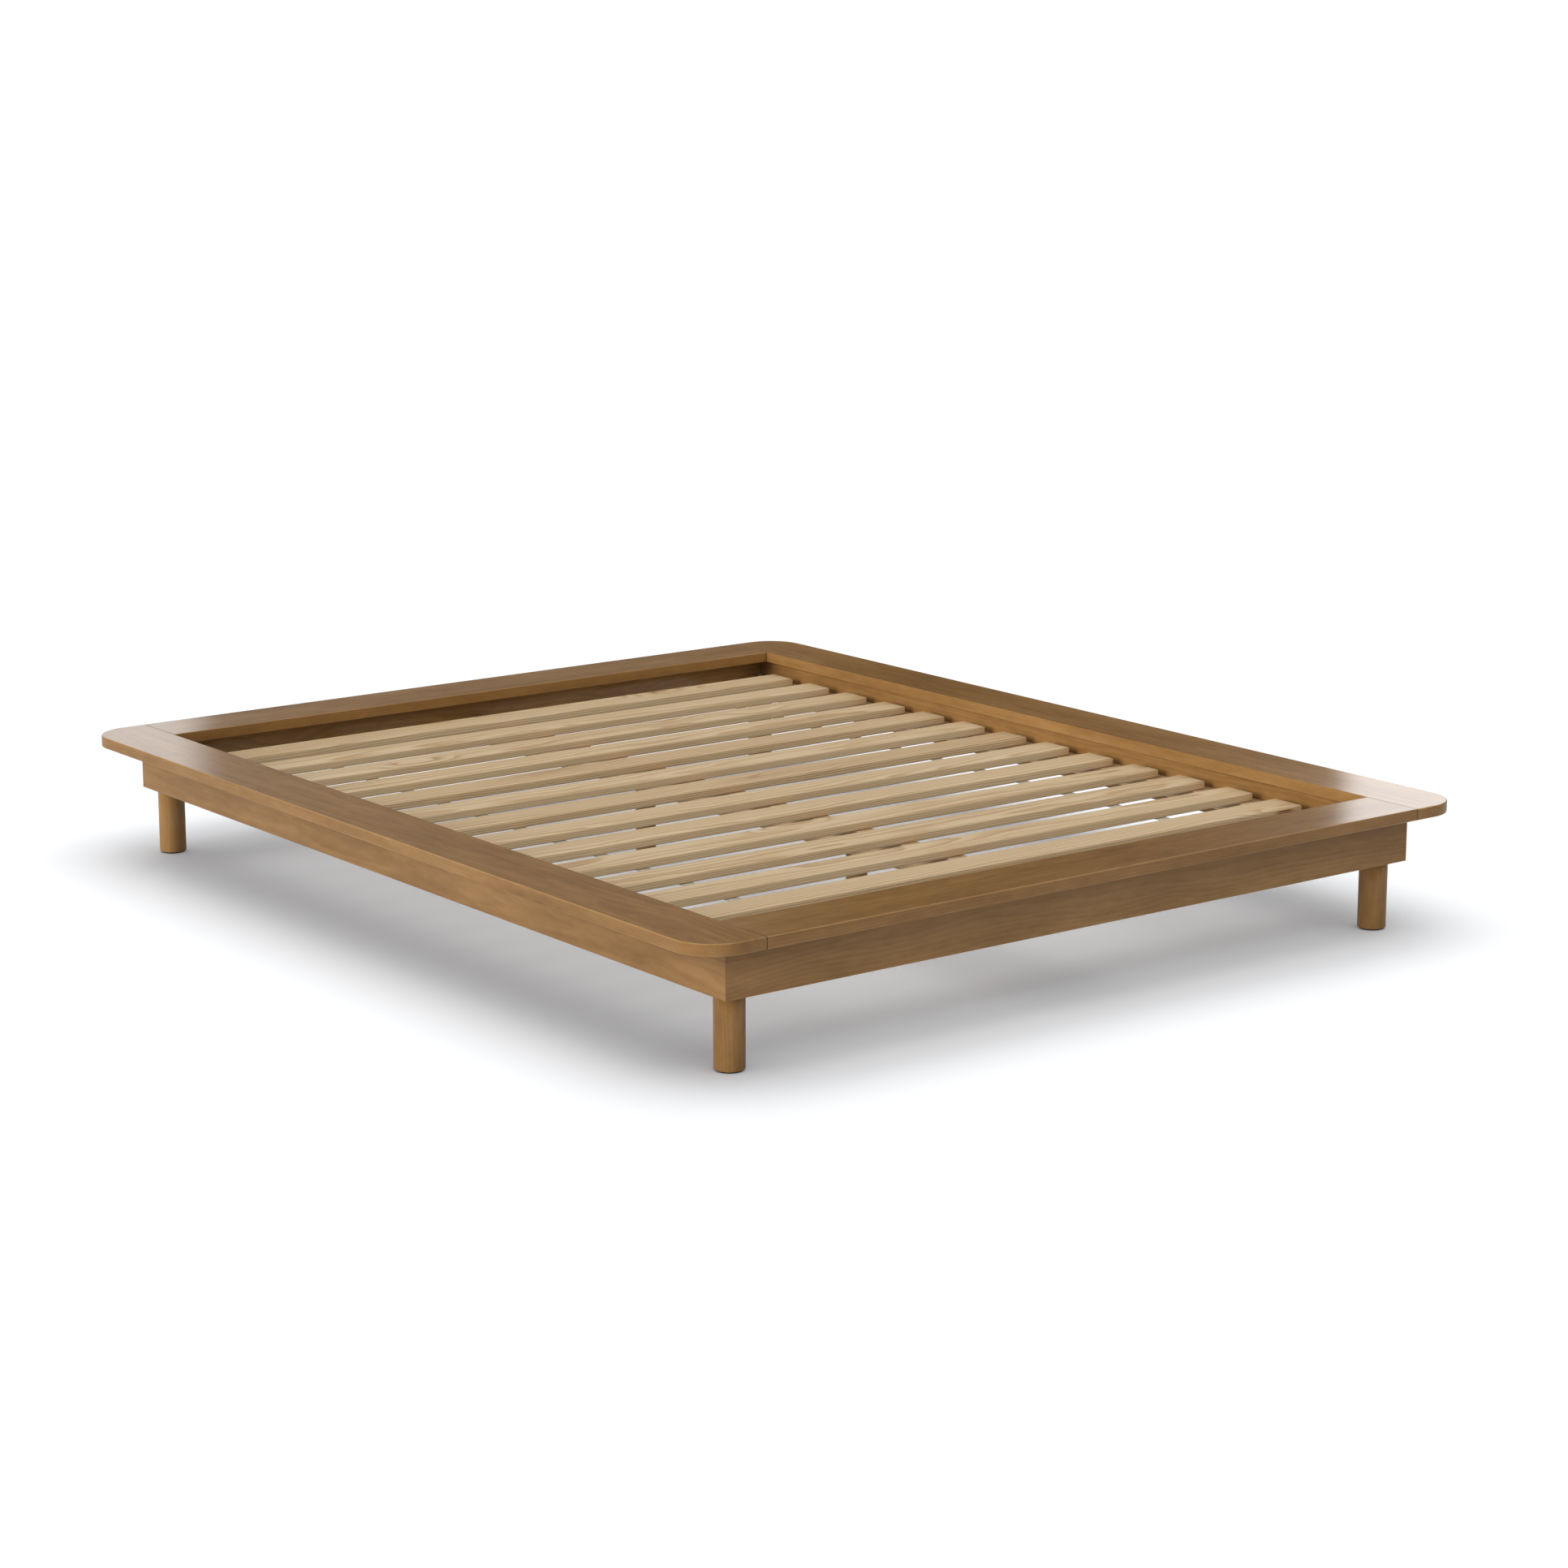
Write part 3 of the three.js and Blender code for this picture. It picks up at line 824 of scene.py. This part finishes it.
def corner_bolt(node, zinc):
    """A hex bolt with its washer. It runs from the block's inner face out into the rail."""
    low, high, middle = box(node)
    axis = X if node.endswith("side") else Y
    outward = axis * math.copysign(1, middle.dot(axis))
    length = (high - low).dot(axis)
    base = middle - outward * length / 2
    bm = hexagon(base, outward)
    turned_part(bm, washer_profile(HEX_HEIGHT), base, outward, WASHER_STEPS)
    turned_part(bm, threaded(HEX_HEIGHT - BOLT_INTO_HEAD, length), base, outward, BOLT_STEPS)
    new_piece(f"{node}_finished", bm, [node], zinc)


def leg_bolt(node, zinc):
    """A threaded rod that stands in the leg and ends above the block in a washer and a nut."""
    low, high, middle = box(node)
    base = on_floor(middle)
    nut = high.z - NUT_TAIL - HEX_HEIGHT
    bm = hexagon(base + Z * nut, Z)
    turned_part(bm, washer_profile(nut - WASHER_THICKNESS), base, Z, WASHER_STEPS)
    turned_part(bm, threaded(low.z, high.z), base, Z, BOLT_STEPS)
    new_piece(f"{node}_finished", bm, [node], zinc)


def dowel_bolt(node, zinc):
    """A threaded rod that is hidden in a centre leg and in the beam."""
    low, high, middle = box(node)
    bm = bmesh.new()
    turned_part(bm, threaded(low.z, high.z), on_floor(middle), Z, BOLT_STEPS)
    new_piece(f"{node}_finished", bm, [node], zinc)


def screw(bm, seat, outward, length):
    """A domed screw head on its seat, with a six-lobed socket and a plain shank behind it."""
    shank = [(0, -length), (SCREW_SHANK / 2, -length), (SCREW_SHANK, SCREW_TIP - length), (SCREW_SHANK, 0)]
    head = [(SCREW_RADIUS, 0), (SCREW_RADIUS, SCREW_RIM), SCREW_SHOULDER]
    bottom = SCREW_DOME - SOCKET_DEPTH
    socket = [(SOCKET_RADIUS, SCREW_DOME), (SOCKET_RADIUS, bottom), (0, bottom)]
    part = bmesh.new()
    turn(part, shank + head + socket, seat, outward, SCREW_STEPS, crisp=35)
    across = outward.orthogonal()
    for vert in part.verts:
        arm = vert.co - seat
        height = arm.dot(outward)
        arm -= outward * height
        if height > 0 and 0.5 * SOCKET_RADIUS < arm.length < 1.01 * SOCKET_RADIUS:
            turned = math.atan2(arm.dot(across), arm.dot(outward.cross(across)))
            vert.co -= arm * SOCKET_LOBE_SHARE * (1 + math.cos(SOCKET_LOBES * turned))
    add_part(bm, part)


def cleat_screws(side, zinc):
    """Screws along a cleat, from its inner face into the rail."""
    low, high, middle = box(f"slat_cleat_{side}")
    face, inward = (high.x, X) if side == "left" else (low.x, -X)
    bm = bmesh.new()
    for number in range(CLEAT_SCREWS):
        share = (number + 0.5) / CLEAT_SCREWS
        seat = Vector((face, low.y + share * (high.y - low.y), middle.z - CLEAT_SCREW_DROP))
        screw(bm, seat, inward, CLEAT_SCREW_LENGTH)
    new_piece(f"slat_cleat_{side}_screws", bm, finish=zinc)


def beam_hanger(end, sheet_steel, zinc):
    """A folded steel saddle under the beam's end, and its four screws."""
    node = f"beam_hanger_{end}"
    low, high, _ = box(node)
    bm = copy_of_cad(node)
    round_over(bm, sharp_edges(bm, HANGER_EDGE, HANGER_FOLD), HANGER_EASING, 2)
    new_piece(f"{node}_finished", bm, [node], sheet_steel)
    against_rail, inward = (low.y, Y) if end == "foot" else (high.y, -Y)
    face = against_rail + inward.y * HANGER_STEEL
    bm = bmesh.new()
    for way in (-1, 1):
        for height in HANGER_SCREW_HEIGHTS:
            seat = Vector((way * (high.x - HANGER_SCREW_INSET), face, height))
            screw(bm, seat, inward, HANGER_SCREW_LENGTH)
    new_piece(f"{node}_screws", bm, finish=zinc)


# Slat tapes.

def slat_tape(side):
    """A cotton tape stapled under the slats, which hangs a little between them."""
    node = f"slat_tape_{side}"
    low, high, middle = box(node)
    width, length = high.x - low.x, high.y - low.y
    bm = bmesh.new()
    bmesh.ops.create_grid(bm, x_segments=TAPE_STRIPS, y_segments=TAPE_STEPS, size=0.5)
    bmesh.ops.scale(bm, vec=(width, length, 1), verts=bm.verts)
    bmesh.ops.translate(bm, vec=(middle.x, middle.y, high.z), verts=bm.verts)
    slats = [box(slat) for slat in SLATS]
    gaps = [(before[1].y, after[0].y) for before, after in zip(slats, slats[1:])]
    for vert in bm.verts:
        for start, end in gaps:
            if start < vert.co.y < end:
                share = (vert.co.y - start) / (end - start)
                vert.co.z -= TAPE_SAG * math.sin(math.pi * share) ** 2
    bmesh.ops.solidify(bm, geom=bm.faces, thickness=TAPE_THICKNESS)
    bmesh.ops.recalc_face_normals(bm, faces=bm.faces)
    for face in bm.faces:
        face.smooth = abs(face.normal.x) < 0.5
    tape = new_piece(f"{node}_finished", bm, [node], cotton_tape(middle))


def tape_staples(side, zinc):
    """Two staples under each slat hold the tape."""
    _, high, middle = box(f"slat_tape_{side}")
    bm = bmesh.new()
    for slat in SLATS:
        _, _, slat_middle = box(slat)
        for way in (-1, 1):
            crown = bmesh.ops.create_cube(bm, size=1)["verts"]
            bmesh.ops.scale(bm, vec=STAPLE_SIZE, verts=crown)
            place = (middle.x, slat_middle.y + way * STAPLE_FROM_MIDDLE, high.z - STAPLE_DROP)
            bmesh.ops.translate(bm, vec=place, verts=crown)
    bevel(bm, bm.edges, STAPLE_EASING, 2)
    for face in bm.faces:
        face.smooth = True
    new_piece(f"slat_tape_{side}_staples", bm, finish=zinc)


# The whole frame.

def bed_frame():
    """Every piece of the bed. The order settles which part of a tree each board is cut from."""
    zinc = zinc_plate()
    sheet_steel = galvanised_sheet()
    felt = dark_felt()
    for side in SIDES:
        side_ledge(side)
        rail(f"side_rail_{side}", Y)
    for end in ENDS:
        end_ledge(end)
        rail(f"{end}_rail", X)
    for end, side in CORNERS:
        corner = f"{end}_{side}"
        leg(f"leg_{corner}", LEG_PAINTED_SHADE[corner])
        glide(f"glide_{corner}", felt)
        planed(f"corner_block_{corner}", PLAIN, BLOCK_EASING, X, Y, BLOCK_EDGE)
        leg_bolt(f"leg_bolt_{corner}", zinc)
        corner_bolt(f"corner_bolt_{corner}_side", zinc)
        corner_bolt(f"corner_bolt_{corner}_end", zinc)
    for end in ENDS:
        leg(f"centre_leg_{end}")
        glide(f"glide_centre_{end}", felt)
        dowel_bolt(f"centre_leg_bolt_{end}", zinc)
        beam_hanger(end, sheet_steel, zinc)
    planed("centre_beam", PLAIN, BEAM_EASING, Y, X, BEAM_EDGE)
    for side in SIDES:
        board(f"slat_cleat_{side}", PLAIN, CLEAT_EASING, Y, Z)
        cleat_screws(side, zinc)
    for slat in SLATS:
        board(slat, SOFTWOOD, SLAT_EASING, X, Y)
    for side in SIDES:
        slat_tape(side)
        tape_staples(side, zinc)


# Floor, light and camera.

FLOOR_RADIUS = 400
FLOOR_STEPS = 96
FLOOR_BOUNCE = (0.45, 0.45, 0.45, 1)
FLOOR_SEEN = (0.90, 0.91, 0.917, 1)
FLOOR_GLOW = (0.8, 1.0, 1.3, 1)
FLOOR_GLOW_STRENGTH = 0.06

# The dome's light by height, which is the sine of the angle above the floor, and by bearing, in degrees
# from +Y towards +X. A pair is where an edge starts and ends. In a four, the last two are the levels at its
# two ends.
DOME = (0.35, 0.90, 0.14, 0.86)
BACKDROP = 1.02
PANEL_FOOT = (0.0, 0.10)
PANEL_TOP = (0.38, 0.55)
LEFT_PANEL = ((13, 20), (27.6, 28.4))
LEFT_PANEL_LIGHT = 1.55
RIGHT_PANEL = ((46.05, 46.5), (51, 58))
RIGHT_PANEL_LIGHT = 2.5
FLAG = ((35, 39), (46.05, 46.5))
FLAG_SHADE = (0.40, 0.60, 0.92, 0.0)

# Each lamp's direction from the bed, its strength and its spread in degrees.
KEY_LIGHT = ((-1.0, 0.10, 0.24), 2.65, 36)
FILL_LIGHT = ((-0.15, -1.0, 0.60), 0.76, 60)
FLOOR_LIGHT = ((0, 0, 1), 1.66, 82)

# The camera's lens and sensor in millimetres, its place in metres, and its pitch and heading in degrees.
CAMERA_LENS = 83.81
CAMERA_SENSOR = 36
CAMERA_REACH = 1000
CAMERA_PLACE = (-4.5844, -6.1466, 1.9389)
CAMERA_PITCH = 12.567
CAMERA_HEADING = 37.31


def floor():
    """A pale floor that glows a little, so that the shadow on it stays light and soft."""
    bm = bmesh.new()
    bmesh.ops.create_circle(bm, cap_ends=True, segments=FLOOR_STEPS, radius=FLOOR_RADIUS)
    mesh = bpy.data.meshes.new("studio_floor")
    bm.to_mesh(mesh)
    bm.free()
    finish = Finish("pale_floor")
    seen = finish.add("ShaderNodeLightPath", {}, "Is Camera Ray")
    tint = finish.add("ShaderNodeMix", {0: seen, 6: FLOOR_BOUNCE, 7: FLOOR_SEEN}, 2, data_type="RGBA")
    mesh.materials.append(
        finish.finish(
            Base_Color=tint,
            Roughness=1.0,
            Specular_IOR_Level=0.0,
            Emission_Color=FLOOR_GLOW,
            Emission_Strength=FLOOR_GLOW_STRENGTH,
        )
    )
    plane = bpy.data.objects.new("studio_floor", mesh)
    bpy.context.scene.collection.objects.link(plane)
    return plane


def studio_dome():
    """A soft dome, dim near the floor, with two low panels behind the bed and a dark flag between them."""
    world = bpy.data.worlds.new("studio_dome")
    world.use_nodes = True
    nodes = Nodes(world.node_tree)
    direction = nodes.add("ShaderNodeTexCoord", {}, "Generated")
    height = nodes.add("ShaderNodeSeparateXYZ", {"Vector": direction}, "Z")
    across, ahead = height.node.outputs["X"], height.node.outputs["Y"]
    bearing = nodes.times(nodes.maths("ARCTAN2", across, ahead), 180 / math.pi)

    flag = nodes.times(nodes.window(bearing, *FLAG), nodes.spread(height, *FLAG_SHADE, smooth=True))
    dome = nodes.times(nodes.spread(height, *DOME, smooth=True), nodes.maths("SUBTRACT", 1.0, flag))
    left = nodes.times(nodes.window(bearing, *LEFT_PANEL), LEFT_PANEL_LIGHT)
    panels = nodes.times_add(nodes.window(bearing, *RIGHT_PANEL), RIGHT_PANEL_LIGHT, left)
    light = nodes.times_add(panels, nodes.window(height, PANEL_FOOT, PANEL_TOP), dome)
    backdrop = nodes.times(nodes.add("ShaderNodeLightPath", {}, "Is Camera Ray"), BACKDROP)
    background = world.node_tree.nodes["Background"].inputs
    nodes.feed(background["Strength"], nodes.maths("MAXIMUM", light, backdrop))
    nodes.feed(background["Color"], (1, 1, 1, 1))
    bpy.context.scene.world = world


def sunlight(name, towards, strength, spread, lit):
    """A broad distant light that falls only on some things and isn't mirrored in the lacquer."""
    light = bpy.data.lights.new(name, "SUN")
    light.energy = strength
    light.angle = math.radians(spread)
    lamp = bpy.data.objects.new(name, light)
    lamp.rotation_euler = Vector(towards).to_track_quat("Z", "Y").to_euler()
    lamp.visible_glossy = False
    bpy.context.scene.collection.objects.link(lamp)
    receivers = bpy.data.collections.new(f"lit_by_{name}")
    for thing in lit:
        receivers.objects.link(thing)
    lamp.light_linking.receiver_collection = receivers


def lights(floor_plane):
    """A low key from the left and a fill from the front on the bed, and an overhead light on the floor."""
    meshes = [thing for thing in bpy.context.scene.objects if thing.type == "MESH"]
    bed = [thing for thing in meshes if thing != floor_plane]
    sunlight("key_light", *KEY_LIGHT, bed)
    sunlight("fill_light", *FILL_LIGHT, bed)
    sunlight("floor_light", *FLOOR_LIGHT, [floor_plane])


def camera():
    """A low three-quarter view over the near foot corner."""
    data = bpy.data.cameras.new("camera")
    data.lens = CAMERA_LENS
    data.sensor_width = CAMERA_SENSOR
    data.clip_end = CAMERA_REACH
    lens = bpy.data.objects.new("camera", data)
    lens.location = CAMERA_PLACE
    lens.rotation_euler = (math.radians(90 - CAMERA_PITCH), 0, math.radians(-CAMERA_HEADING))
    bpy.context.scene.collection.objects.link(lens)
    bpy.context.scene.camera = lens


camera()
bed_frame()
studio_dome()
lights(floor())
bpy.context.scene.view_settings.view_transform = "Standard"
